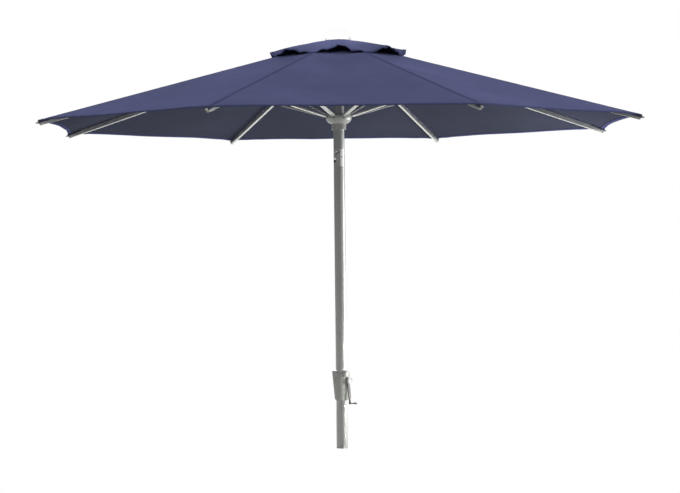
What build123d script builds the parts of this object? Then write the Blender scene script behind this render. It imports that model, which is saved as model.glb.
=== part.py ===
"""Centre-pole market umbrella: a two-piece aluminium pole with a crank housing and a tilt joint,
eight ribs opened by a runner and struts, and a fabric canopy with a vent cap on top.
The origin is the centre of the pole's lower end, +Z is up and -Y is the front."""

from build123d import *
import math
import os

# Pole
pole_radius = 24.0
pole_wall = 2.0
pole_bore = pole_radius - pole_wall
plug_radius = pole_bore - 0.1
foot_thickness = 2.0
foot_length = 160.0
neck_radius = 23.5
lower_pole_top = 262.0
mid_pole_bottom = 322.0

# Tilt joint
tilt_height = 1268.0
tilt_angle = -60.0
fork_shoulder = 1227.5
tongue_shoulder = 1301.5
ear_radius = 23.5
ear_gap = 24.0
tongue_half = 8.7
ear_inner = 9.0
tilt_pin_radius = 4.0
running_gap = 0.06
cord_hole_radius = 3.5
cord_hole_offset = 10.0
button_height = 1235.7
button_radius = 5.0

# Ribs and struts, each in the upright plane of its rib
rib_count = 8
first_rib_angle = 22.5
rib_slope = 15.4
link_length = 550.0
pivot_circle = 45.0
crown_height = 1733.5
rib_offset = 18.0
rib_height = 20.0
rib_width = 12.0
rib_wall = 1.0
rib_start = 26.0
rib_end = 1326.0
rib_tip_end = 1347.0
eye_radius = 6.5
blade_thickness = 6.0
slot_width = 6.6
slot_start = 37.5
wire_radius = 1.5
wire_hole = 1.75
wire_groove = 1.6
strut_width = 20.0
strut_thickness = 8.0
strut_margin = 20.0
rivet_radius = 2.5
cheek_inner = 3.3

# Crown
hub_radius = 53.0
hub_bottom = 1721.5
hub_top = 1750.0
pulley_center = 18.0
pulley_radius = 12.0
stud_radius = 4.0
finial_radius = 57.0
cover_top = 1772.0
finial_base = 1775.3
finial_top = 1811.0

# Runner
runner_bore = 24.6
runner_collar = 32.0
runner_radius = 57.5
runner_bottom = 1387.0
runner_shoulder = 1412.0
runner_top = 1447.0

# Canopy
canopy_apex = 1777.0
canopy_slope = 0.2747
canopy_radius = 1340.0
canopy_inner = 110.0
sheet_thickness = 1.5
hem_rise = 31.0
seam_gap = 0.2
vent_radius = 292.0
vent_inner = 48.0
vent_top = 1775.0
vent_rib_height = 1699.5
vent_hem_height = 1730.0
vent_columns = 32

# Crank housing
crank_height = 294.0
crank_angle = -33.0
housing_bottom = 209.0
housing_top = 338.0
housing_face = 33.0
roof_corner = 308.0
hood_center = 20.0
hood_radius = 24.0
hood_bottom = 313.0
hood_top = 340.0
chamber_radius = 25.0
chamber_bottom = 270.0
chamber_top = 318.0
spindle_radius = 5.0
arm_drop = 96.0

crown_pivot = Vector(pivot_circle, 0, crown_height)
slope_cosine = math.cos(math.radians(rib_slope))
slope_sine = math.sin(math.radians(rib_slope))
runner_pivot = crown_pivot - Vector(0, 0, 2 * link_length * slope_sine)

# In the rib plane x runs outward along the rib, y is square to it and points at the fabric.
rib_plane = Plane(origin=crown_pivot, x_dir=(slope_cosine, 0, -slope_sine), z_dir=(0, -1, 0))
# In the strut plane x runs outward and up along the strut.
strut_plane = Plane(origin=runner_pivot, x_dir=(slope_cosine, 0, slope_sine), z_dir=(0, -1, 0))


def save(name, shape):
    """Writes one sub-part as parts/NAME.step."""
    export_step(shape, f"parts/{name}.step")


def tube(outer, inner, low, high):
    """An upright ring between two heights; an inner radius of 0 makes it solid."""
    ring = Circle(outer)
    if inner > 0:
        ring = ring - Circle(inner)
    return extrude(Plane.XY.offset(low) * ring, amount=high - low)


def block(x_low, x_high, y_low, y_high, z_low, z_high):
    """A box between its lowest and highest corners."""
    size = Box(x_high - x_low, y_high - y_low, z_high - z_low)
    return Pos((x_low + x_high) / 2, (y_low + y_high) / 2, (z_low + z_high) / 2) * size


def bar_x(radius, x_low, x_high, y, z):
    """A round bar along X."""
    return extrude(Plane.YZ.offset(x_low) * Pos(y, z) * Circle(radius), amount=x_high - x_low)


def bar_y(radius, y_low, y_high, x, z):
    """A round bar along Y."""
    section = Plane.ZX.offset(y_low) * Pos(z, x) * Circle(radius)
    return extrude(section, amount=y_high - y_low)


def in_slab(plane, outline, width):
    """An outline in an upright plane, given half the width on each side."""
    return extrude(plane * outline, amount=width / 2, both=True)


def polygon(*points):
    """A flat face with straight sides."""
    return make_face(Polyline(*points, close=True))


def turned(*points):
    """A solid of revolution about Z from (radius, height) points."""
    return revolve(Plane.XZ * polygon(*points), Axis.Z)


def turned_on_x(height, *points):
    """A solid of revolution about a line along X at a height, from (distance, radius) points."""
    return revolve(Plane.XZ * Pos(0, height) * polygon(*points), Axis((0, 0, height), (1, 0, 0)))


def dome(radius, base, edge, top):
    """A round cap about Z with an upright rim up to its edge."""
    rise = top - edge
    outline = make_face(
        [
            Line((0, base), (radius, base)),
            Line((radius, base), (radius, edge)),
            Spline(
                (radius, edge),
                (radius * 0.84, edge + rise * 0.6),
                (radius * 0.54, edge + rise * 0.9),
                (0, top),
                tangents=[(-0.2, 1), (-1, 0)],
            ),
            Line((0, top), (0, base)),
        ]
    )
    return revolve(Plane.XZ * outline, Axis.Z)


def around(shape, index):
    """The same piece at rib number index, counted from 0."""
    return shape.rotate(Axis.Z, first_rib_angle + index * 360 / rib_count)


def wire_ring(height):
    """The wire ring that the ends of ribs or struts hinge on."""
    return Pos(0, 0, height) * Torus(pivot_circle, wire_radius)


# The lower piece of the pole, which a base or a table's hole holds, and its foot plug.
# Above the foot the tube is drawn in a little, so that it slides into the crank housing.
def make_lower_pole():
    pole = turned(
        (pole_bore, foot_thickness),
        (pole_radius, foot_thickness),
        (pole_radius, foot_length),
        (neck_radius, foot_length + 2),
        (neck_radius, lower_pole_top),
        (neck_radius - pole_wall, lower_pole_top),
        (neck_radius - pole_wall, foot_length + 2),
        (pole_bore, foot_length),
    )
    save("pole_lower", pole)
    plug = tube(plug_radius, 17.0, foot_thickness, 24.0) + tube(pole_radius - 0.3, 0, 0, foot_thickness)
    save("pole_foot_plug", plug)


# The crank's parts are made with the crank's axis along X and then turned about the pole.
def aimed(shape):
    return shape.rotate(Axis.Z, crank_angle)


def housing_section(height, x_low, x_high, half_width, back_round, front_round):
    """The housing's outline at one height, with rounder corners towards the crank."""
    outline = Pos((x_low + x_high) / 2, 0) * Rectangle(x_high - x_low, 2 * half_width)
    outline = fillet(outline.vertices().group_by(Axis.X)[0], back_round)
    outline = fillet(outline.vertices().group_by(Axis.X)[-1], front_round)
    return (Plane.XY.offset(height) * outline).face()


# The outer form narrows downwards, and a domed hood stands over the crank's hub.
def housing_form():
    low = housing_section(housing_bottom, -29.5, 28.0, 26.5, 26.0, 26.0)
    high = housing_section(housing_top, -36.5, 29.5, 28.5, 14.0, 24.0)
    form = loft([low, high])
    form = fillet(form.faces().sort_by(Axis.Z)[-1].edges(), 7)
    # The roof falls away on both sides, more and more towards the hood.
    for side in (-1, 1):
        corner = (housing_face, side * 29, roof_corner)
        roof = Plane(origin=corner, z_dir=(0.235, side * 0.87, 0.49))
        form -= extrude(roof * Rectangle(200, 200), amount=50)
    form &= turned(
        (0, housing_bottom), (25.4, housing_bottom), (28.5, 213), (34, 222), (80, 235), (80, 400), (0, 400)
    )
    # The hood is cut flat at the housing's face, so that the arm can swing past it.
    hood = Pos(hood_center, 0) * dome(hood_radius, hood_bottom, hood_bottom + 5, hood_top)
    form += hood & block(-60, housing_face, -60, 60, 300, 400)
    return form + bar_x(16.0, 10.0, housing_face, 0, crank_height)


def make_housing():
    form = housing_form()
    form -= tube(neck_radius + 0.1, 0, housing_bottom - 1, lower_pole_top + 0.1)
    form -= tube(18.0, 0, lower_pole_top, chamber_bottom + 1)
    form -= tube(chamber_radius, 0, chamber_bottom, chamber_top)
    form -= tube(20.0, 0, chamber_top - 1, mid_pole_bottom)
    form -= tube(pole_radius + 0.05, 0, mid_pole_bottom, hood_top + 1)
    form -= bar_x(spindle_radius + 0.05, -31.0, 40.0, 0, crank_height)
    screws = []
    for x, z, head in ((-30.5, 318.0, 15.0), (-27.4, 244.0, 8.0), (29.0, 319.0, 15.0)):
        screws.append(bar_y(1.5, 1 - head, head, x, z) + bar_y(2.4, head, head + 2.5, x, z))
        form -= bar_y(1.55, 0.5 - head, head + 1, x, z)
        form -= bar_y(2.6, head, 40.0, x, z)
    front = form & block(-60, 60, -60, 0, 150, 400)
    back = form & block(-60, 60, 0, 60, 150, 400)
    save("crank_housing_front", aimed(front))
    save("crank_housing_back", aimed(back))
    save("housing_screws", aimed(Compound(screws)))


# A springy tongue below the housing lies along the pole and ends in a round stop.
def make_clip():
    low, high = 168.0, housing_bottom
    outer = tube(neck_radius + 2.4, neck_radius + 0.4, low, high)
    clip = outer & block(0, 40, -4.2, 4.2, low, high)
    clip += bar_x(3.6, neck_radius + 1.0, neck_radius + 3.6, -1.5, low + 4.5)
    save("pole_clip", clip.rotate(Axis.Z, -76))


def make_crank():
    spindle = bar_x(spindle_radius, -30.0, 44.8, 0, crank_height)
    spindle += bar_x(7.6, 44.8, 46.8, 0, crank_height)
    save("crank_spindle", aimed(spindle))
    r = spindle_radius
    spool = ((-17, r), (17, r), (17, 17), (15, 17), (14, 13.5), (-14, 13.5), (-15, 17), (-17, 17))
    save("cord_spool", aimed(turned_on_x(crank_height, *spool)))
    hub = ((39.2, r), (44.6, r), (44.6, 9), (48, 10), (48.5, 13), (47, 16), (44, 17.5), (41, 17), (39.2, 15))
    save("crank_hub", aimed(turned_on_x(crank_height, *hub)))
    bottom = crank_height - arm_drop
    side = polygon(
        (34.3, crank_height),
        (39.0, crank_height),
        (39.2, crank_height - 18),
        (45.2, bottom + 2),
        (45.2, bottom - 4),
        (41.0, bottom - 4),
        (34.5, crank_height - 18),
    )
    # Seen along the crank's axis the arm narrows towards the grip.
    face = polygon(
        (-8.5, crank_height),
        (8.5, crank_height),
        (8.5, crank_height - 45),
        (5.0, bottom - 4),
        (-5.0, bottom - 4),
        (-8.5, crank_height - 45),
    )
    arm = in_slab(Plane.XZ, side, 17.0) & extrude(Plane.YZ.offset(30) * face, amount=20)
    arm += bar_x(11.0, 34.3, 39.0, 0, crank_height)
    arm += bar_x(6.5, 40.6, 45.2, 0, bottom)
    arm += bar_x(2.5, 45.0, 72.0, 0, bottom)
    arm -= bar_x(spindle_radius, 30.0, 41.0, 0, crank_height)
    save("crank_arm", aimed(arm))
    bore = 2.5 + running_gap
    grip = ((45.6, bore), (45.6, 4.4), (58, 3.9), (69, 5), (75, 6), (77, 5), (77, 0), (72.5, 0), (72.5, bore))
    save("crank_grip", aimed(turned_on_x(bottom, *grip)))


# The tilt joint is made with its pin along X and then turned about the pole.
def tilted_round(shape):
    return shape.rotate(Axis.Z, tilt_angle)


def make_tilt_joint():
    ends = pole_radius + 1
    whole = tube(pole_radius, 0, fork_shoulder, tongue_shoulder)
    center = Pos(0, tilt_height)
    # In Plane.YZ x is Y and y is Z.
    ear_face = center * Circle(ear_radius)
    ear_face += polygon(
        (-ear_radius, tilt_height - ear_gap - 1),
        (ear_radius, tilt_height - ear_gap - 1),
        (ear_radius, tilt_height),
        (-ear_radius, tilt_height),
    )
    tongue_face = center * Circle(ear_radius)
    tongue_face += polygon(
        (-ear_radius, tilt_height),
        (ear_radius, tilt_height),
        (ear_radius, tilt_height + ear_gap + 1),
        (-ear_radius, tilt_height + ear_gap + 1),
    )
    cord_hole = extrude(
        Plane.XY.offset(fork_shoulder - 60) * Pos(0, cord_hole_offset) * Circle(cord_hole_radius),
        amount=200,
    )
    ears = in_slab(Plane.YZ, ear_face, 2 * ends) & whole
    ears -= block(-ear_inner, ear_inner, -ends, ends, tilt_height - ear_gap, tongue_shoulder)
    fork = ears + (whole & block(-ends, ends, -ends, ends, fork_shoulder - 1, tilt_height - ear_gap))
    fork += tube(plug_radius, 0, fork_shoulder - 38, fork_shoulder)
    fork -= cord_hole
    fork -= bar_x(tilt_pin_radius, -ends, ends, 0, tilt_height)
    # A stepped bore at the back holds the release button and its spring.
    fork -= bar_x(button_radius + 0.1, -ends, -12.0, 0, button_height)
    fork -= bar_x(button_radius + 1.6, -19.5, -4.0, 0, button_height)
    save("tilt_fork", tilted_round(fork))

    tongue = in_slab(Plane.YZ, tongue_face, 2 * tongue_half) & whole
    tongue += whole & block(-ends, ends, -ends, ends, tilt_height + ear_gap, tongue_shoulder + 1)
    tongue += tube(plug_radius, 0, tongue_shoulder, tongue_shoulder + 38)
    tongue -= cord_hole
    tongue -= bar_x(tilt_pin_radius + running_gap, -ends, ends, 0, tilt_height)
    save("tilt_tongue", tilted_round(tongue))
    save("tilt_pin", tilted_round(bar_x(tilt_pin_radius, -23.2, 23.2, 0, tilt_height)))

    button = bar_x(button_radius, -23.8, -14.0, 0, button_height)
    button += bar_x(button_radius + 1.4, -19.3, -17.0, 0, button_height)
    save("tilt_button", tilted_round(button))
    coil = bar_x(4.2, -13.9, -4.1, 0, button_height) - bar_x(3.2, -15.0, -3.0, 0, button_height)
    save("tilt_button_spring", tilted_round(coil))


# The upper pole ends at the crown hub; a notch lets the hoist cord out over its pulley.
def make_upper_pole():
    save("pole_mid", tube(pole_radius, pole_bore, mid_pole_bottom, fork_shoulder))
    upper = tube(pole_radius, pole_bore, tongue_shoulder, hub_bottom)
    upper -= block(15, 30, -4.5, 4.5, hub_bottom - 8, hub_bottom + 1)
    save("pole_upper", upper)


def make_crown():
    hub = tube(hub_radius, 0, hub_bottom, hub_top)
    hub = chamfer(hub.edges().filter_by(GeomType.CIRCLE).sort_by(Axis.Z)[0], 3)
    hub += tube(plug_radius, 14.0, hub_bottom - 40, hub_bottom)
    hub -= tube(pivot_circle + wire_groove, pivot_circle - wire_groove, crown_height - wire_groove, hub_top)
    slot = block(slot_start, 60, -slot_width / 2, slot_width / 2, hub_bottom - 1, hub_top + 1)
    for index in range(rib_count):
        hub -= around(slot, index)
    hub -= block(5, 31.5, -4.5, 4.5, hub_bottom - 8, hub_top)
    pin_height = crown_height - 2
    hub -= block(pulley_center - 2, pulley_center + 2, -12, 12, pin_height, hub_top)
    hub -= bar_y(2.0, -12, 12, pulley_center, pin_height)
    hub -= tube(stud_radius, 0, crown_height + 2, hub_top)
    save("crown_hub", hub)
    save("crown_ring", wire_ring(crown_height))
    save("pulley_pin", bar_y(2.0, -12, 12, pulley_center, pin_height))
    rim, root, bore = pulley_radius, pulley_radius - 3, 2 + running_gap
    wheel = polygon(
        (bore, -3.5), (rim, -3.5), (rim, -2.5), (root, -0.8), (root, 0.8), (rim, 2.5), (rim, 3.5), (bore, 3.5)
    )
    pulley = revolve(Plane.XZ * wheel, Axis.Z).rotate(Axis.X, 90)
    save("cord_pulley", Pos(pulley_center, 0, pin_height) * pulley)
    cover = turned(
        (stud_radius + 0.05, hub_top),
        (50, hub_top),
        (50, hub_top + 3),
        (44, hub_top + 7),
        (47, cover_top - 3),
        (52, cover_top - 1),
        (51, cover_top),
        (stud_radius + 0.05, cover_top),
    )
    save("crown_cover", cover)
    save("finial_stud", tube(stud_radius, 0, crown_height + 2, finial_top - 9))


# A low dome closes the crown. Its stud goes up into it.
def make_finial():
    cap = dome(finial_radius, finial_base, finial_base + 6, finial_top)
    save("finial", cap - tube(stud_radius + running_gap, 0, finial_base - 1, finial_top - 8))


# The runner's bowl carries the struts' wire ring; the collar below it slides on the pole.
def make_runner():
    outline = make_face(
        [
            Polyline(
                (runner_radius, runner_top),
                (runner_bore, runner_top),
                (runner_bore, runner_bottom),
                (runner_collar, runner_bottom),
                (runner_collar, runner_shoulder),
            ),
            ThreePointArc(
                (runner_collar, runner_shoulder),
                (runner_radius - 6, runner_shoulder + 13),
                (runner_radius, runner_shoulder + 27),
            ),
            Line((runner_radius, runner_shoulder + 27), (runner_radius, runner_top)),
        ]
    )
    body = revolve(Plane.XZ * outline, Axis.Z)
    low = runner_pivot.Z - eye_radius - 0.8
    slot = block(slot_start, 60, -slot_width / 2, slot_width / 2, low, runner_top + 1)
    for index in range(rib_count):
        body -= around(slot, index)
    groove_low = runner_pivot.Z - wire_groove
    body -= tube(pivot_circle + wire_groove, pivot_circle - wire_groove, groove_low, runner_top + 1)
    save("runner_body", body)
    save("runner_ring", wire_ring(runner_pivot.Z))


# A rib is a rectangular tube with a flat eye at the crown and two cheeks for its strut.
def rib_shape():
    section = RectangleRounded(rib_width, rib_height, 2) - RectangleRounded(
        rib_width - 2 * rib_wall, rib_height - 2 * rib_wall, 1
    )
    across = Plane(
        origin=rib_plane.from_local_coords(Vector(rib_start, rib_offset, 0)),
        x_dir=(0, -1, 0),
        z_dir=rib_plane.x_dir,
    )
    rib = extrude(across * section, amount=rib_end - rib_start)
    low, high = rib_offset - rib_height / 2, rib_offset + rib_height / 2
    blade = Circle(eye_radius) + polygon(
        (-2.0, 6.0), (rib_start - 1, high - 2), (rib_start + 14, high - 2), (rib_start + 14, low + 2),
        (rib_start - 1, low + 2), (3.0, -5.6),
    )
    rib += in_slab(rib_plane, blade, blade_thickness)
    # The blade ends in a block that fills the start of the tube.
    rib += extrude(across * RectangleRounded(rib_width - 1, rib_height - 1, 1), amount=14)
    rib -= in_slab(rib_plane, Circle(wire_hole), 20)
    cheek = Pos(link_length, 0) * Circle(7.0)
    cheek += polygon(
        (link_length - 7, 0),
        (link_length + 7, 0),
        (link_length + 12, low + 0.5),
        (link_length - 12, low + 0.5),
    )
    cheeks = in_slab(rib_plane, cheek, rib_width)
    cheeks -= in_slab(rib_plane, Pos(link_length, -10) * Rectangle(40, 36), 2 * cheek_inner)
    cheeks -= in_slab(rib_plane, Pos(link_length, 0) * Circle(rivet_radius + running_gap), 20)
    return rib + cheeks


# A plastic cap closes the rib's outer end; the canopy's corner hooks over its nose.
def rib_tip_shape():
    across = Plane(
        origin=rib_plane.from_local_coords(Vector(rib_end, rib_offset, 0)),
        x_dir=(0, -1, 0),
        z_dir=rib_plane.x_dir,
    )
    cap = extrude(across * RectangleRounded(13.0, 20.6, 3.0), amount=5)
    high = rib_offset + rib_height / 2
    nose = polygon(
        (rib_end + 3, high - 1),
        (rib_end + 10, high - 2),
        (rib_tip_end, high - 4),
        (rib_tip_end, high - 8.5),
        (rib_end + 14, high - 10),
        (rib_end + 3, high - 16),
    )
    cap += in_slab(rib_plane, nose, 7.0)
    plug = RectangleRounded(rib_width - 2 * rib_wall - 0.2, rib_height - 2 * rib_wall - 0.2, 0.8)
    return cap + extrude(across.offset(-18) * plug, amount=18.5)


# A strut is a flat tube with an eye at each end; its rivet turns in the rib's cheeks.
def strut_shape():
    section = RectangleRounded(strut_width, strut_thickness, 2) - RectangleRounded(
        strut_width - 2, strut_thickness - 2, 1
    )
    across = Plane(
        origin=strut_plane.from_local_coords(Vector(strut_margin, 0, 0)),
        x_dir=(0, -1, 0),
        z_dir=strut_plane.x_dir,
    )
    strut = extrude(across * section, amount=link_length - 2 * strut_margin)
    for x, inward in ((0, 1), (link_length, -1)):
        reach = x + inward * (strut_margin + 14)
        blade = Pos(x, 0) * Circle(eye_radius)
        blade += polygon((x, -4.5), (reach, -3.2), (reach, 3.2), (x, 4.5))
        strut += in_slab(strut_plane, blade, blade_thickness)
    strut -= in_slab(strut_plane, Circle(wire_hole), 20)
    rivet = Pos(link_length, 0)
    strut += in_slab(strut_plane, rivet * Circle(rivet_radius), 15.4)
    heads = in_slab(strut_plane, rivet * Circle(4.2), 15.4)
    heads -= in_slab(strut_plane, rivet * Rectangle(12, 12), rib_width + 0.6)
    return strut + heads


# One panel hangs on each rib: two flat halves, each from the rib to the middle of the next gore.
def panel_shape():
    half_angle = math.pi / rib_count
    middle = canopy_radius * math.cos(half_angle)
    halves = []
    for side in (-1, 1):
        corners = [(canopy_inner, 0.0), (canopy_radius, 0.0)]
        # The hem curves in from the rib's tip to the middle of the gore.
        for share in (0.25, 0.5, 0.75, 1.0):
            angle = half_angle * share
            straight = middle / math.cos(half_angle - angle)
            corners.append((straight - hem_rise * math.sin(share * math.pi / 2), angle))
        corners.append((canopy_inner, half_angle))
        lower = []
        for radius, angle in corners:
            clear = seam_gap if angle in (0.0, half_angle) else 0.0
            sign = 1 if angle == 0.0 else -1
            x = radius * math.cos(angle) - sign * clear * math.sin(angle)
            y = radius * math.sin(angle) + sign * clear * math.cos(angle)
            z = canopy_apex - canopy_slope * (x + math.tan(half_angle) * y) - sheet_thickness
            lower.append(Vector(x, side * y, z))
        if side < 0:
            lower.reverse()
        face = Face(Wire.make_polygon(lower, close=True))
        halves.append(extrude(face, amount=sheet_thickness, dir=(0, 0, 1)))
    return halves


# The vent cap billows up between the ribs, and its hem is arched there.
def vent_shape():
    def row(share, drop):
        points = []
        for column in range(vent_columns):
            turn = column * 2 * math.pi / vent_columns
            bulge = abs(math.sin(turn * rib_count / 2))
            hem = vent_rib_height + (vent_hem_height - vent_rib_height) * bulge
            radius = vent_inner + (vent_radius - vent_inner) * share
            height = vent_top + (hem - vent_top) * share - drop
            angle = turn + math.radians(first_rib_angle)
            points.append(Vector(radius * math.cos(angle), radius * math.sin(angle), height))
        return points

    rows = [row(0, 0), row(1, 0), row(1, sheet_thickness), row(0, sheet_thickness)]
    faces = []
    for one, two in ((1, 2), (2, 3), (3, 0), (0, 1)):
        for column in range(vent_columns):
            after = (column + 1) % vent_columns
            a, b = rows[one][column], rows[one][after]
            c, d = rows[two][column], rows[two][after]
            faces.append(Face(Wire.make_polygon([a, c, b], close=True)))
            faces.append(Face(Wire.make_polygon([b, c, d], close=True)))
    return Solid(Shell(faces))


def make_ribs_and_canopy():
    shapes = {
        "rib": rib_shape(),
        "rib_tip": rib_tip_shape(),
        "strut": strut_shape(),
        "canopy_panel": Compound(panel_shape()),
    }
    for name, shape in shapes.items():
        for index in range(rib_count):
            save(f"{name}_{index + 1}", around(shape, index))
    save("vent_cap", vent_shape())


os.makedirs("parts", exist_ok=True)
make_lower_pole()
make_housing()
make_clip()
make_crank()
make_tilt_joint()
make_upper_pole()
make_crown()
make_finial()
make_runner()
make_ribs_and_canopy()
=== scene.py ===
import math

import bmesh
import bpy
from mathutils import Matrix, Vector, noise


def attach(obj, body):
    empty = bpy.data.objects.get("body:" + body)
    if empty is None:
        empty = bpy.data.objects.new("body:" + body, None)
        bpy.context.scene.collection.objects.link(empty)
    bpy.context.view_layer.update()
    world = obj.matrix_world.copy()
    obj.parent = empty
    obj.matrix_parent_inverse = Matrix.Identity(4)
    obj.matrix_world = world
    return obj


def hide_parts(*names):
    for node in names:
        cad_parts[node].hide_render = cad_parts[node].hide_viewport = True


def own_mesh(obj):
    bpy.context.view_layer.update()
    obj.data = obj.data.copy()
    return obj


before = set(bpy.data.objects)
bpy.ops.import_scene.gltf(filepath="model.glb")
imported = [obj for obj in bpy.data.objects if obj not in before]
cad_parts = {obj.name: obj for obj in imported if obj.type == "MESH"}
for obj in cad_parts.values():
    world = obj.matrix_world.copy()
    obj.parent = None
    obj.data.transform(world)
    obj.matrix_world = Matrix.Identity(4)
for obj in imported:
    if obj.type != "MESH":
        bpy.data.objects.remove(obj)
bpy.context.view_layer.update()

ribCount = 8
halfGore = math.pi / ribCount


def finishMesh(bm, name, smooth=True):
    bm.normal_update()
    mesh = bpy.data.meshes.new(name)
    bm.to_mesh(mesh)
    bm.free()
    if smooth:
        mesh.shade_smooth()
    piece = bpy.data.objects.new(name, mesh)
    bpy.context.collection.objects.link(piece)
    return piece


def smoothStep(value):
    value = max(0.0, min(1.0, value))
    return value * value * (3 - 2 * value)


# A shader node with its input values; inputs given as sockets are linked.
def shaderNode(tree, kind, place=(0, 0), inputs=None, **settings):
    node = tree.nodes.new(kind)
    node.location = (place[0] * 200, place[1] * 160)
    for key, value in settings.items():
        setattr(node, key, value)
    for key, value in (inputs or {}).items():
        if isinstance(value, bpy.types.NodeSocket):
            tree.links.new(value, node.inputs[key])
        else:
            node.inputs[key].default_value = value
    return node


def newGroup(name, inputs, outputs):
    group = bpy.data.node_groups.new(name, "ShaderNodeTree")
    for label, kind, value in inputs:
        socket = group.interface.new_socket(label, in_out="INPUT", socket_type=kind)
        if value is not None:
            socket.default_value = value
    for label, kind in outputs:
        group.interface.new_socket(label, in_out="OUTPUT", socket_type=kind)
    start = shaderNode(group, "NodeGroupInput", (-6, 0))
    end = shaderNode(group, "NodeGroupOutput", (8, 0))
    return group, start, end


def newMaterial(name):
    material = bpy.data.materials.new(name)
    material.use_nodes = True
    tree = material.node_tree
    tree.nodes.clear()
    shader = shaderNode(tree, "ShaderNodeBsdfPrincipled", (4, 0))
    output = shaderNode(tree, "ShaderNodeOutputMaterial", (6, 0))
    tree.links.new(shader.outputs["BSDF"], output.inputs["Surface"])
    return material, tree, shader


def useGroup(tree, group, place, inputs):
    node = shaderNode(tree, "ShaderNodeGroup", place, node_tree=group)
    for key, value in inputs.items():
        if isinstance(value, bpy.types.NodeSocket):
            tree.links.new(value, node.inputs[key])
        else:
            node.inputs[key].default_value = value
    return node


# Cloth: plain weave on the piece's own UV, in metres, with slow shade changes.
def makeWeaveGroup():
    group, start, end = newGroup(
        "plainWeave",
        [
            ("Colour", "NodeSocketColor", (0.05, 0.05, 0.15, 1)),
            ("Thread", "NodeSocketFloat", 0.0011),
            ("Relief", "NodeSocketFloat", 0.25),
            ("Mottle", "NodeSocketFloat", 0.08),
        ],
        [("Colour", "NodeSocketColor"), ("Roughness", "NodeSocketFloat"), ("Normal", "NodeSocketVector")],
    )
    uv = shaderNode(group, "ShaderNodeTexCoord", (-6, 2))
    scale = shaderNode(group, "ShaderNodeMath", (-5, 1), {0: math.pi, 1: start.outputs["Thread"]},
                       operation="DIVIDE")
    spread = shaderNode(group, "ShaderNodeVectorMath", (-4, 1),
                        {0: uv.outputs["UV"], "Scale": scale.outputs[0]}, operation="SCALE")
    parts = shaderNode(group, "ShaderNodeSeparateXYZ", (-3, 1), {0: spread.outputs[0]})
    waves = []
    for index, axis in enumerate("XY"):
        wave = shaderNode(group, "ShaderNodeMath", (-2, 2 - index), {0: parts.outputs[axis]},
                          operation="SINE")
        waves.append(wave.outputs[0])
    weave = shaderNode(group, "ShaderNodeMath", (-1, 1), {0: waves[0], 1: waves[1]}, operation="MULTIPLY")
    slub = shaderNode(group, "ShaderNodeTexNoise", (-3, -1),
                      {"Vector": uv.outputs["UV"], "Scale": 420.0, "Detail": 2.0})
    height = shaderNode(group, "ShaderNodeMath", (0, 1),
                        {0: weave.outputs[0], 1: slub.outputs["Fac"]}, operation="ADD")
    cloud = shaderNode(group, "ShaderNodeTexNoise", (-3, -2),
                       {"Vector": uv.outputs["UV"], "Scale": 2.6, "Detail": 5.0, "Roughness": 0.6})
    shade = shaderNode(group, "ShaderNodeMapRange", (-1, -2),
                       {0: cloud.outputs["Fac"], 1: 0.3, 2: 0.7, 3: -1.0, 4: 1.0})
    amount = shaderNode(group, "ShaderNodeMath", (0, -2),
                        {0: shade.outputs[0], 1: start.outputs["Mottle"]}, operation="MULTIPLY")
    threadShade = shaderNode(group, "ShaderNodeMath", (0, -1), {0: weave.outputs[0], 1: 0.07},
                             operation="MULTIPLY")
    total = shaderNode(group, "ShaderNodeMath", (1, -1),
                       {0: amount.outputs[0], 1: threadShade.outputs[0]}, operation="ADD")
    gain = shaderNode(group, "ShaderNodeMath", (2, -1), {0: total.outputs[0], 1: 1.0}, operation="ADD")
    colour = shaderNode(group, "ShaderNodeVectorMath", (3, -1),
                        {0: start.outputs["Colour"], "Scale": gain.outputs[0]}, operation="SCALE")
    rough = shaderNode(group, "ShaderNodeMapRange", (3, 0), {0: cloud.outputs["Fac"], 3: 0.78, 4: 0.92})
    bump = shaderNode(group, "ShaderNodeBump", (3, 1),
                      {"Strength": start.outputs["Relief"], "Distance": 0.0004, "Height": height.outputs[0]})
    group.links.new(colour.outputs[0], end.inputs["Colour"])
    group.links.new(rough.outputs[0], end.inputs["Roughness"])
    group.links.new(bump.outputs[0], end.inputs["Normal"])
    return group


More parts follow.
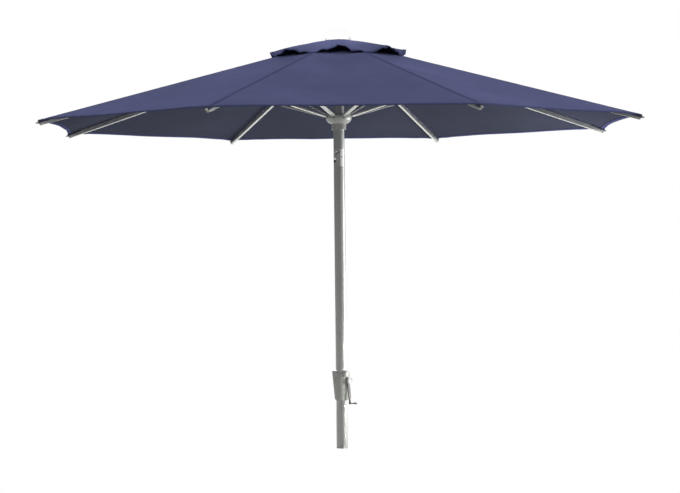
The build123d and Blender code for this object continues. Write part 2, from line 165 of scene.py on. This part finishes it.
# Moulded or cast surfaces: fine grain and slow changes of shade and gloss.
def makeGrainGroup():
    group, start, end = newGroup(
        "fineGrain",
        [
            ("Colour", "NodeSocketColor", (0.5, 0.5, 0.5, 1)),
            ("Grain", "NodeSocketFloat", 900.0),
            ("Relief", "NodeSocketFloat", 0.1),
            ("Gloss", "NodeSocketFloat", 0.45),
            ("Vary", "NodeSocketFloat", 0.06),
        ],
        [("Colour", "NodeSocketColor"), ("Roughness", "NodeSocketFloat"), ("Normal", "NodeSocketVector")],
    )
    place = shaderNode(group, "ShaderNodeTexCoord", (-5, 1))
    fine = shaderNode(group, "ShaderNodeTexNoise", (-3, 1),
                      {"Vector": place.outputs["Object"], "Scale": start.outputs["Grain"], "Detail": 2.0})
    slow = shaderNode(group, "ShaderNodeTexNoise", (-3, -1),
                      {"Vector": place.outputs["Object"], "Scale": 24.0, "Detail": 4.0})
    swing = shaderNode(group, "ShaderNodeMapRange", (-1, -1),
                       {0: slow.outputs["Fac"], 1: 0.3, 2: 0.7, 3: -1.0})
    change = shaderNode(group, "ShaderNodeMath", (0, -1),
                        {0: swing.outputs[0], 1: start.outputs["Vary"]}, operation="MULTIPLY")
    gain = shaderNode(group, "ShaderNodeMath", (1, -1), {0: change.outputs[0], 1: 1.0}, operation="ADD")
    colour = shaderNode(group, "ShaderNodeVectorMath", (2, -1),
                        {0: start.outputs["Colour"], "Scale": gain.outputs[0]}, operation="SCALE")
    rough = shaderNode(group, "ShaderNodeMath", (2, 0),
                       {0: change.outputs[0], 1: start.outputs["Gloss"]}, operation="ADD")
    bump = shaderNode(group, "ShaderNodeBump", (2, 1),
                      {"Strength": start.outputs["Relief"], "Distance": 0.0003,
                       "Height": fine.outputs["Fac"]})
    group.links.new(colour.outputs[0], end.inputs["Colour"])
    group.links.new(rough.outputs[0], end.inputs["Roughness"])
    group.links.new(bump.outputs[0], end.inputs["Normal"])
    return group


# Drawn metal: long fine lines along one axis over a satin skin.
def makeDrawnGroup():
    group, start, end = newGroup(
        "drawnMetal",
        [
            ("Colour", "NodeSocketColor", (0.6, 0.6, 0.6, 1)),
            ("Stretch", "NodeSocketVector", (700.0, 700.0, 6.0)),
            ("Relief", "NodeSocketFloat", 0.12),
            ("Gloss", "NodeSocketFloat", 0.35),
        ],
        [("Colour", "NodeSocketColor"), ("Roughness", "NodeSocketFloat"), ("Normal", "NodeSocketVector")],
    )
    place = shaderNode(group, "ShaderNodeTexCoord", (-5, 1))
    drawn = shaderNode(group, "ShaderNodeVectorMath", (-4, 1),
                       {0: place.outputs["Object"], 1: start.outputs["Stretch"]}, operation="MULTIPLY")
    lines = shaderNode(group, "ShaderNodeTexNoise", (-3, 1),
                       {"Vector": drawn.outputs[0], "Scale": 1.0, "Detail": 3.0})
    smear = shaderNode(group, "ShaderNodeTexNoise", (-3, -1),
                       {"Vector": place.outputs["Object"], "Scale": 9.0, "Detail": 4.0})
    swing = shaderNode(group, "ShaderNodeMapRange", (-1, -1),
                       {0: smear.outputs["Fac"], 1: 0.3, 2: 0.7, 3: -1.0})
    gain = shaderNode(group, "ShaderNodeMath", (0, -1), {0: swing.outputs[0], 1: 0.04, 2: 1.0},
                      operation="MULTIPLY_ADD")
    colour = shaderNode(group, "ShaderNodeVectorMath", (2, -1),
                        {0: start.outputs["Colour"], "Scale": gain.outputs[0]}, operation="SCALE")
    rough = shaderNode(group, "ShaderNodeMath", (1, 0),
                       {0: swing.outputs[0], 1: 0.05, 2: start.outputs["Gloss"]}, operation="MULTIPLY_ADD")
    bump = shaderNode(group, "ShaderNodeBump", (2, 1),
                      {"Strength": start.outputs["Relief"], "Distance": 0.0002,
                       "Height": lines.outputs["Fac"]})
    group.links.new(colour.outputs[0], end.inputs["Colour"])
    group.links.new(rough.outputs[0], end.inputs["Roughness"])
    group.links.new(bump.outputs[0], end.inputs["Normal"])
    return group


weaveGroup = makeWeaveGroup()
grainGroup = makeGrainGroup()
drawnGroup = makeDrawnGroup()


def linkFinish(tree, shader, node):
    tree.links.new(node.outputs["Colour"], shader.inputs["Base Color"])
    tree.links.new(node.outputs["Roughness"], shader.inputs["Roughness"])
    tree.links.new(node.outputs["Normal"], shader.inputs["Normal"])


def clothFinish(name, colour, thread=0.0011, relief=0.25, mottle=0.08):
    material, tree, shader = newMaterial(name)
    cloth = useGroup(tree, weaveGroup, (1, 0),
                     {"Colour": (*colour, 1), "Thread": thread, "Relief": relief, "Mottle": mottle})
    linkFinish(tree, shader, cloth)
    shader.inputs["Specular IOR Level"].default_value = 0.0
    return material


def mouldedFinish(name, colour, gloss=0.45, grain=900.0, relief=0.12, vary=0.05, metal=0.0):
    material, tree, shader = newMaterial(name)
    skin = useGroup(tree, grainGroup, (1, 0),
                    {"Colour": (*colour, 1), "Grain": grain, "Relief": relief, "Gloss": gloss, "Vary": vary})
    linkFinish(tree, shader, skin)
    shader.inputs["Metallic"].default_value = metal
    return material


def drawnFinish(name, colour, gloss=0.35, stretch=(700.0, 700.0, 6.0), relief=0.1, metal=0.9):
    material, tree, shader = newMaterial(name)
    skin = useGroup(tree, drawnGroup, (1, 0),
                    {"Colour": (*colour, 1), "Stretch": stretch, "Relief": relief, "Gloss": gloss})
    linkFinish(tree, shader, skin)
    shader.inputs["Metallic"].default_value = metal
    return material


finishes = {
    "navyCloth": clothFinish("navyCloth", (0.106, 0.116, 0.235)),
    # Painted shade: the panels' lower face gets a darker, greyer copy of the cloth colour, standing in for
    # the shade under the canopy.
    "navyUnderPaintedShade": clothFinish("navyUnderPaintedShade", (0.062, 0.067, 0.098)),
    # Painted shade: the seams and hems are the same cloth, given a darker copy of its colour.
    "navyHemPaintedShade": clothFinish("navyHemPaintedShade", (0.080, 0.088, 0.185), relief=0.35),
    # Painted shade: the corner pockets are the same cloth, given a greyer, darker copy of its colour like the
    # shaded underside.
    "navyPocketPaintedShade": clothFinish("navyPocketPaintedShade", (0.085, 0.088, 0.125), relief=0.35),
    "poleSatin": drawnFinish("poleSatin", (0.56, 0.57, 0.54), gloss=0.36),
    "ribSatin": mouldedFinish("ribSatin", (0.62, 0.63, 0.60), gloss=0.36, metal=0.85, grain=1400.0,
                              relief=0.06),
    "polished": drawnFinish("polished", (0.66, 0.66, 0.65), gloss=0.14, relief=0.05, metal=1.0),
    "greyPlastic": mouldedFinish("greyPlastic", (0.47, 0.48, 0.44), gloss=0.42, metal=0.1),
    "runnerPlastic": mouldedFinish("runnerPlastic", (0.48, 0.49, 0.46), gloss=0.40, metal=0.2),
    "gripPlastic": mouldedFinish("gripPlastic", (0.27, 0.27, 0.26), gloss=0.4, relief=0.2),
    "darkPlastic": mouldedFinish("darkPlastic", (0.035, 0.036, 0.036), gloss=0.42, relief=0.2),
    "whitePlastic": mouldedFinish("whitePlastic", (0.90, 0.90, 0.88), gloss=0.30, relief=0.05),
    "darkMetal": mouldedFinish("darkMetal", (0.13, 0.13, 0.12), gloss=0.42, relief=0.25, vary=0.1),
    "steel": drawnFinish("steel", (0.58, 0.58, 0.57), gloss=0.28, stretch=(400.0, 400.0, 400.0)),
}


# The finish of each part that is shown as it was modelled.
partFinishes = {
    "poleSatin": ["pole_lower", "pole_mid", "pole_upper"],
    "polished": ["tilt_fork", "tilt_tongue", "pole_clip"],
    "steel": ["tilt_pin", "crank_spindle", "housing_screws", "crown_ring", "runner_ring",
              "pulley_pin", "finial_stud"],
    "greyPlastic": ["crank_housing_front", "crank_housing_back", "crown_hub", "crown_cover"]
    + [f"rib_tip_{i}" for i in range(1, ribCount + 1)],
    "runnerPlastic": ["runner_body"],
    "darkPlastic": ["pole_foot_plug", "cord_spool", "tilt_button"],
    "gripPlastic": ["crank_grip"],
    "whitePlastic": ["crank_hub", "finial", "cord_pulley"],
    "darkMetal": ["crank_arm"],
    "ribSatin": [f"{kind}_{i}" for kind in ("rib", "strut") for i in range(1, ribCount + 1)],
}
for finishName, nodeNames in partFinishes.items():
    for nodeName in nodeNames:
        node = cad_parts[nodeName]
        for slot in node.material_slots:
            slot.material = finishes[finishName]
print("finishes on the carried-over parts: done")


canopy = {
    "apex": 1.777,
    "slope": 0.2747,
    "radius": 1.340,
    "innerRadius": 0.108,
    "hemRise": 0.031,
    "ridgeRound": 0.012,
    "sag": 0.008,
    "thickness": 0.0014,
    "along": 72,
    "across": 44,
    "keep": 0.22,
    "hemWidth": 0.018,
    "hemThickness": 0.0042,
    "seamWidth": 0.016,
    "seamThickness": 0.0026,
    "pucker": 0.0009,
    "puckerReach": 0.02,
    "unevenness": 0.0024,
    "cornerLength": 0.16,
    "cornerWidth": 0.1,
    "cornerRays": 260,
    "rayHeight": 0.0012,
}
vent = {
    "top": 1.775,
    "innerRadius": 0.050,
    "ribRadius": 0.292,
    "gapRadius": 0.297,
    "ribHeight": 1.7000,
    "gapHeight": 1.7305,
    "thickness": 0.0014,
    "along": 26,
    "across": 36,
    "keep": 0.35,
    "hemWidth": 0.014,
    "hemThickness": 0.004,
    "heldShare": 0.12,
    "middleLift": 0.004,
    "foldHeight": 0.012,
    "rippleHeight": 0.006,
}
ribEnd = {
    "slope": math.radians(15.4),
    "pivotHeight": 1.7335,
    "pocketStart": 1.262,
    "pocketEnd": 1.3345,
    "lowStart": 0.0225,
    "lowEnd": 0.0190,
    "top": 0.0296,
    "droop": 0.0012,
    "halfWidth": 0.0072,
    "steps": 14,
}
pivotRadius = 0.045


def ribAngle(index):
    return math.radians(22.5 + 45 * index)


# Radius of the hem at a share of the way from a rib, 0, to the middle of the gore, 1.
def hemRadius(share):
    straight = canopy["radius"] * math.cos(halfGore) / math.cos(halfGore * (1 - share))
    return straight - canopy["hemRise"] * math.sin(share * math.pi / 2)


# A point of the main canopy: along runs from 0 at the crown to 1 at the hem, across from -1 to 1.
def canopyPoint(along, across, turn):
    share = abs(across)
    radius = canopy["innerRadius"] + (hemRadius(share) - canopy["innerRadius"]) * along
    angle = halfGore * across
    x, y = radius * math.cos(angle), radius * math.sin(angle)
    ridge = math.sqrt(y * y + canopy["ridgeRound"] ** 2) - canopy["ridgeRound"]
    z = canopy["apex"] - canopy["slope"] * (x + math.tan(halfGore) * ridge)
    wide = radius / canopy["radius"]
    z -= canopy["sag"] * wide * (1 - math.cos(math.pi * share)) / 2
    point = Vector((x * math.cos(turn) - y * math.sin(turn), x * math.sin(turn) + y * math.cos(turn), z))
    # Puckers beside the rib seam and slow unevenness in the cloth.
    reach = canopy["puckerReach"]
    pucker = noise.noise(Vector((radius * 34, turn * 7, 3.0))) * math.exp(-((abs(y) - reach) / reach) ** 2)
    slow = noise.noise(point * 5.0) * smoothStep(abs(y) / 0.08)
    fromCorner = (radius - canopy["radius"]) / canopy["cornerLength"]
    corner = math.exp(-(fromCorner ** 2)) * math.exp(-((y / canopy["cornerWidth"]) ** 2))
    rays = math.sin(angle * canopy["cornerRays"]) * corner * smoothStep(abs(y) / reach)
    point.z += canopy["pucker"] * pucker + canopy["unevenness"] * slow * wide + canopy["rayHeight"] * rays
    return point


# A point of the vent cap, which billows up between the ribs and is held down at them.
def ventPoint(along, across, turn):
    share = abs(across)
    held = vent["heldShare"]
    rise = max(0.0, (share - held) / (1 - held))
    bulge = rise ** 1.2 * (1 - 0.12 * rise ** 5)
    rim = vent["ribRadius"] + (vent["gapRadius"] - vent["ribRadius"]) * bulge
    hem = vent["ribHeight"] + (vent["gapHeight"] - vent["ribHeight"]) * bulge
    radius = vent["innerRadius"] + (rim - vent["innerRadius"]) * along
    angle = halfGore * across
    z = vent["top"] + (hem - vent["top"]) * along
    z += vent["middleLift"] * math.sin(along * math.pi) * bulge
    direction = turn + angle
    point = Vector((radius * math.cos(direction), radius * math.sin(direction), z))
    folds = noise.noise(Vector((math.cos(direction) * 9, math.sin(direction) * 9, along * 1.2 + 7)))
    ripple = noise.noise(Vector((math.cos(direction) * 26, math.sin(direction) * 26, along * 2 + 3)))
    uneven = vent["foldHeight"] * folds + vent["rippleHeight"] * ripple
    point.z += uneven * along * along * smoothStep(share * 4)
    return point


# Cloth runs straight down the middle of each gore, so its thread lines meet at the ribs.
def clothUV(point, turn, side):
    gore = turn + side * halfGore
    return (
        point.x * math.cos(gore) + point.y * math.sin(gore),
        -point.x * math.sin(gore) + point.y * math.cos(gore),
    )


# A grid is shaped by a function of (along, across), with along from its own low to its own high.
def shapedGrid(bm, shape, turn, along, across, lowAlong=0.0, highAlong=1.0):
    made = bmesh.ops.create_grid(bm, x_segments=along, y_segments=across, size=0.5)
    uvLayer = bm.loops.layers.uv.verify()
    for vertex in made["verts"]:
        a = lowAlong + (highAlong - lowAlong) * (vertex.co.x + 0.5)
        b = 2 * (vertex.co.y + 0.5) - 1
        vertex.co = shape(a, b, turn)
    faces = {face for vertex in made["verts"] for face in vertex.link_faces}
    for edge in {edge for face in faces for edge in face.edges}:
        edge.smooth = not edge.is_boundary
    for face in faces:
        centre = face.calc_center_median()
        side = 1 if -centre.x * math.sin(turn) + centre.y * math.cos(turn) > 0 else -1
        for loop in face.loops:
            loop[uvLayer].uv = clothUV(loop.vert.co, turn, side)
        if face.normal.z < 0:
            face.normal_flip()
    return made["verts"]


# A second finish, where a piece has one, goes on the cloth's lower face; on the panels it is a darker, greyer
# copy of the cloth colour, painted shade.
def thicken(piece, thickness, offset):
    wall = piece.modifiers.new("cloth thickness", "SOLIDIFY")
    wall.thickness = thickness
    wall.offset = offset
    wall.use_even_offset = False
    if len(piece.data.materials) > 1:
        wall.material_offset = 1


def foldWithRib(piece, index):
    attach(piece, f"rib_{index + 1}")
    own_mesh(piece)


# A point in a rib's own plane: out along the rib, square to it towards the cloth, and sideways.
def ribPoint(out, above, side, turn):
    slope = ribEnd["slope"]
    radius = pivotRadius + out * math.cos(slope) + above * math.sin(slope)
    height = ribEnd["pivotHeight"] - out * math.sin(slope) + above * math.cos(slope)
    return Vector((
        radius * math.cos(turn) - side * math.sin(turn),
        radius * math.sin(turn) + side * math.cos(turn),
        height,
    ))


# The cloth's corner is a small pocket drawn over the rib's end; it is open below.
def makeCornerPocket(index):
    turn = ribAngle(index)
    steps = ribEnd["steps"]
    bm = bmesh.new()
    uvLayer = bm.loops.layers.uv.verify()
    rings = []
    for step in range(steps + 1):
        share = step / steps
        out = ribEnd["pocketStart"] + (ribEnd["pocketEnd"] - ribEnd["pocketStart"]) * share
        drop = ribEnd["droop"] * smoothStep((share - 0.55) / 0.45)
        low = ribEnd["lowStart"] + (ribEnd["lowEnd"] - ribEnd["lowStart"]) * smoothStep(share * 1.3)
        high = ribEnd["top"] - drop
        wide = ribEnd["halfWidth"]
        outline = [(-wide, low), (-wide * 1.04, (low + high) / 2), (-wide, high - 0.003), (-wide * 0.7, high),
                   (0, high + 0.0006), (wide * 0.7, high), (wide, high - 0.003),
                   (wide * 1.04, (low + high) / 2), (wide, low)]
        ring = []
        for side, above in outline:
            wrinkle = 0.0007 * noise.noise(Vector((out * 90, side * 200, above * 90 + turn)))
            ring.append(bm.verts.new(ribPoint(out, above + wrinkle, side + wrinkle, turn)))
        rings.append(ring)
    for one, two in zip(rings, rings[1:]):
        for column in range(len(one) - 1):
            bm.faces.new((one[column], one[column + 1], two[column + 1], two[column]))
    bm.faces.new(list(reversed(rings[-1])))
    bmesh.ops.recalc_face_normals(bm, faces=bm.faces)
    for face in bm.faces:
        for loop in face.loops:
            loop[uvLayer].uv = clothUV(loop.vert.co, turn, 0)
    pocket = finishMesh(bm, f"canopyPocket{index + 1}")
    # The pocket's greyer, darker cloth colour is painted shade.
    pocket.data.materials.append(finishes["navyPocketPaintedShade"])
    thicken(pocket, 0.0011, 1)
    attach(pocket, f"rib_{index + 1}")
    return pocket


def makeCanopyPanel(index):
    turn = ribAngle(index)
    bm = bmesh.new()
    shapedGrid(bm, canopyPoint, turn, canopy["along"], canopy["across"])
    area = sum(face.calc_area() for face in bm.faces)
    panel = finishMesh(bm, f"canopyPanel{index + 1}")
    panel.data.materials.append(finishes["navyCloth"])
    # Lower face: a darker, greyer copy of the cloth colour, painted shade.
    panel.data.materials.append(finishes["navyUnderPaintedShade"])
    thicken(panel, canopy["thickness"], -1)

    # The rib seam and the folded hem are thicker bands on the same cloth, coloured with a darker copy of its
    # colour as painted shade.
    bm = bmesh.new()
    width = canopy["hemWidth"] / (canopy["radius"] - canopy["innerRadius"])
    hemLow = 1 - width
    shapedGrid(bm, canopyPoint, turn, 4, canopy["across"], lowAlong=hemLow, highAlong=1.0008)
    trim = finishMesh(bm, f"canopyHem{index + 1}")
    trim.data.materials.append(finishes["navyHemPaintedShade"])
    thicken(trim, canopy["hemThickness"], -0.35)

    def seamPoint(along, across, angle):
        radius = canopy["innerRadius"] + (canopy["radius"] - canopy["innerRadius"]) * along
        return canopyPoint(along, across * canopy["seamWidth"] / 2 / (radius * halfGore), angle)

    bm = bmesh.new()
    shapedGrid(bm, seamPoint, turn, canopy["along"] * 2, 4, highAlong=0.996)
    seam = finishMesh(bm, f"canopySeam{index + 1}")
    seam.data.materials.append(finishes["navyHemPaintedShade"])
    thicken(seam, canopy["seamThickness"], -0.4)

    pocket = makeCornerPocket(index)
    for piece in (panel, trim, seam):
        foldWithRib(piece, index)
    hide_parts(f"canopy_panel_{index + 1}")
    width = 2 * canopy["radius"] * math.sin(halfGore)


def makeVentPanel(index):
    turn = ribAngle(index)
    bm = bmesh.new()
    shapedGrid(bm, ventPoint, turn, vent["along"], vent["across"])
    area = sum(face.calc_area() for face in bm.faces)
    panel = finishMesh(bm, f"ventPanel{index + 1}")
    panel.data.materials.append(finishes["navyCloth"])
    # Lower face: a darker, greyer copy of the cloth colour, painted shade.
    panel.data.materials.append(finishes["navyUnderPaintedShade"])
    thicken(panel, vent["thickness"], -1)

    bm = bmesh.new()
    hemLow = 1 - vent["hemWidth"] / (vent["ribRadius"] - vent["innerRadius"])
    shapedGrid(bm, ventPoint, turn, 3, vent["across"], lowAlong=hemLow, highAlong=1.004)
    trim = finishMesh(bm, f"ventHem{index + 1}")
    # Vent hem: a darker copy of the cloth colour, painted shade.
    trim.data.materials.append(finishes["navyHemPaintedShade"])
    thicken(trim, vent["hemThickness"], -0.35)
    for piece in (panel, trim):
        foldWithRib(piece, index)


collarRing = {
    "profile": [(0.0475, 1.7680), (0.060, 1.7655), (0.078, 1.7575), (0.094, 1.7475), (0.102, 1.7400)],
    "steps": 64,
    "thickness": 0.0014,
    "flat": (0.2, 0.2),
}


# A small round of cloth stays on the crown, under the vent cap, and closes it when the ribs fold.
def makeCrownCollar():
    bm = bmesh.new()
    edges = []
    last = None
    for radius, height in collarRing["profile"]:
        vertex = bm.verts.new((radius, 0, height))
        if last:
            edges.append(bm.edges.new((last, vertex)))
        last = vertex
    bmesh.ops.spin(bm, geom=list(bm.verts) + edges, cent=(0, 0, 0), axis=(0, 0, 1), angle=math.tau,
                   steps=collarRing["steps"], use_merge=True)
    bmesh.ops.remove_doubles(bm, verts=bm.verts, dist=1e-6)
    bmesh.ops.recalc_face_normals(bm, faces=bm.faces)
    uvLayer = bm.loops.layers.uv.verify()
    for face in bm.faces:
        if face.normal.z < 0:
            face.normal_flip()
        for loop in face.loops:
            loop[uvLayer].uv = (loop.vert.co.x, loop.vert.co.y)
    area = sum(face.calc_area() for face in bm.faces)
    collar = finishMesh(bm, "crownCollar")
    collar.data.materials.append(finishes["navyCloth"])
    thicken(collar, collarRing["thickness"], -1)
    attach(collar, "upper_pole")
    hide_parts("vent_cap")


coil = {
    "angle": math.radians(-60),
    "height": 1.2357,
    "start": -0.0139,
    "end": -0.0041,
    "radius": 0.0037,
    "wire": 0.0005,
    "turns": 5,
    "steps": 24,
    "sides": 8,
    "keep": 0.75,
}


# The release button's coil spring stands along the tilt pin's direction.
def makeCoil():
    along = Vector((math.cos(coil["angle"]), math.sin(coil["angle"]), 0))
    across = Vector((-along.y, along.x, 0))
    up = Vector((0, 0, 1))
    count = coil["turns"] * coil["steps"]
    bm = bmesh.new()
    rings = []
    for step in range(count + 1):
        turn = math.tau * step / coil["steps"]
        length = coil["end"] - coil["start"] - 2 * coil["wire"]
        advance = coil["start"] + coil["wire"] + length * step / count
        outward = across * math.cos(turn) + up * math.sin(turn)
        centre = Vector((0, 0, coil["height"])) + along * advance + outward * coil["radius"]
        ring = []
        for side in range(coil["sides"]):
            angle = math.tau * side / coil["sides"]
            spoke = (outward * math.cos(angle) + along * math.sin(angle)) * coil["wire"]
            ring.append(bm.verts.new(centre + spoke))
        rings.append(ring)
    for one, two in zip(rings, rings[1:]):
        for side in range(coil["sides"]):
            after = (side + 1) % coil["sides"]
            bm.faces.new((one[side], one[after], two[after], two[side]))
    bm.faces.new(list(reversed(rings[0])))
    bm.faces.new(rings[-1])
    bmesh.ops.recalc_face_normals(bm, faces=bm.faces)
    spring = finishMesh(bm, "buttonCoil")
    spring.data.materials.append(finishes["steel"])
    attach(spring, "crank_stand")
    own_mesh(spring)
    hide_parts("tilt_button_spring")


makeCoil()
print("button coil: done")
for index in range(ribCount):
    makeCanopyPanel(index)
for index in range(ribCount):
    makeVentPanel(index)
makeCrownCollar()
print("canopy and vent cap: done")


stage = {
    "floorHeight": -0.0005,
    "floorRadius": 80.0,
    "camera": (-0.150, -8.625, 0.908),
    "lens": 104.8,
    "pitch": -0.198,
    "yaw": -0.995,
    "roll": -0.60,
}


def makeFloor():
    bm = bmesh.new()
    bmesh.ops.create_circle(bm, cap_ends=True, segments=96, radius=stage["floorRadius"])
    bmesh.ops.translate(bm, vec=(0, 0, stage["floorHeight"]), verts=bm.verts)
    floor = finishMesh(bm, "studioFloor", smooth=False)
    material, tree, shader = newMaterial("studioFloor")
    shader.inputs["Base Color"].default_value = (0.38, 0.38, 0.38, 1)
    shader.inputs["Roughness"].default_value = 0.9
    shader.inputs["Specular IOR Level"].default_value = 0.1
    glow = shaderNode(tree, "ShaderNodeEmission", (4, -2), {"Color": (1, 1, 1, 1), "Strength": 1.0})
    path = shaderNode(tree, "ShaderNodeLightPath", (2, 2))
    mix = shaderNode(tree, "ShaderNodeMixShader", (5, 0))
    tree.links.new(path.outputs["Is Camera Ray"], mix.inputs[0])
    tree.links.new(shader.outputs[0], mix.inputs[1])
    tree.links.new(glow.outputs[0], mix.inputs[2])
    tree.links.new(mix.outputs[0], tree.nodes["Material Output"].inputs["Surface"])
    floor.data.materials.append(material)


def makeWorld():
    world = bpy.data.worlds.new("studio")
    bpy.context.scene.world = world
    world.use_nodes = True
    tree = world.node_tree
    tree.nodes.clear()
    place = shaderNode(tree, "ShaderNodeTexCoord", (-4, 0))
    parts = shaderNode(tree, "ShaderNodeSeparateXYZ", (-3, 0), {0: place.outputs["Generated"]})
    side = shaderNode(tree, "ShaderNodeMapRange", (-2, 0),
                      {0: parts.outputs["X"], 1: 0.35, 2: 0.62, 3: 0.22, 4: 0.80})
    sky = shaderNode(tree, "ShaderNodeMapRange", (-2, -1),
                     {0: parts.outputs["Z"], 1: 0.25, 2: 0.85, 3: 0.0, 4: 0.55})
    both = shaderNode(tree, "ShaderNodeMath", (-1, 0), {0: side.outputs[0], 1: sky.outputs[0]},
                      operation="ADD")
    soft = shaderNode(tree, "ShaderNodeBackground", (0, 0),
                      {"Color": (1, 1, 1, 1), "Strength": both.outputs[0]})
    seen = shaderNode(tree, "ShaderNodeBackground", (0, -2), {"Color": (1, 1, 1, 1), "Strength": 1.0})
    path = shaderNode(tree, "ShaderNodeLightPath", (0, 2))
    mix = shaderNode(tree, "ShaderNodeMixShader", (2, 0))
    output = shaderNode(tree, "ShaderNodeOutputWorld", (4, 0))
    tree.links.new(path.outputs["Is Camera Ray"], mix.inputs[0])
    tree.links.new(soft.outputs[0], mix.inputs[1])
    tree.links.new(seen.outputs[0], mix.inputs[2])
    tree.links.new(mix.outputs[0], output.inputs[0])


def makeLight(name, place, target, size, power, spread=math.pi):
    data = bpy.data.lights.new(name, "AREA")
    data.shape = "DISK"
    data.size = size
    data.energy = power
    data.spread = spread
    lamp = bpy.data.objects.new(name, data)
    bpy.context.collection.objects.link(lamp)
    lamp.location = place
    lamp.visible_camera = False
    lamp.rotation_euler = (Vector(target) - Vector(place)).to_track_quat("-Z", "Y").to_euler()


def makeCamera():
    data = bpy.data.cameras.new("camera")
    data.lens = stage["lens"]
    data.clip_end = 300
    camera = bpy.data.objects.new("camera", data)
    bpy.context.collection.objects.link(camera)
    turn = (
        Matrix.Rotation(math.radians(stage["yaw"]), 4, "Z")
        @ Matrix.Rotation(math.radians(90 + stage["pitch"]), 4, "X")
        @ Matrix.Rotation(math.radians(stage["roll"]), 4, "Z")
    )
    camera.matrix_world = Matrix.Translation(stage["camera"]) @ turn
    bpy.context.scene.camera = camera


makeFloor()
makeWorld()
# One low lamp stands behind, two at the right, and two narrow ones fill the finial and the housing.
makeLight("key", (0.0, 9.0, 4.3), (0, 0, 1.5), 3.0, 2100)
makeLight("sideRight", (7.0, 0.8, 0.7), (0, 0, 1.2), 2.5, 60)
makeLight("lowRight", (2.1, 0.5, 0.5), (0.95, 0.25, 1.45), 0.6, 25)
makeLight("finialFill", (-1.2, -5.0, 3.6), (0, 0, 1.81), 0.3, 0.3, spread=math.radians(4))
makeLight("housingFill", (4.0, -1.4, 0.75), (0, 0, 0.29), 0.4, 0.35, spread=math.radians(7))
makeCamera()
bpy.context.scene.view_settings.view_transform = "Standard"
print("stage, light and camera: done")
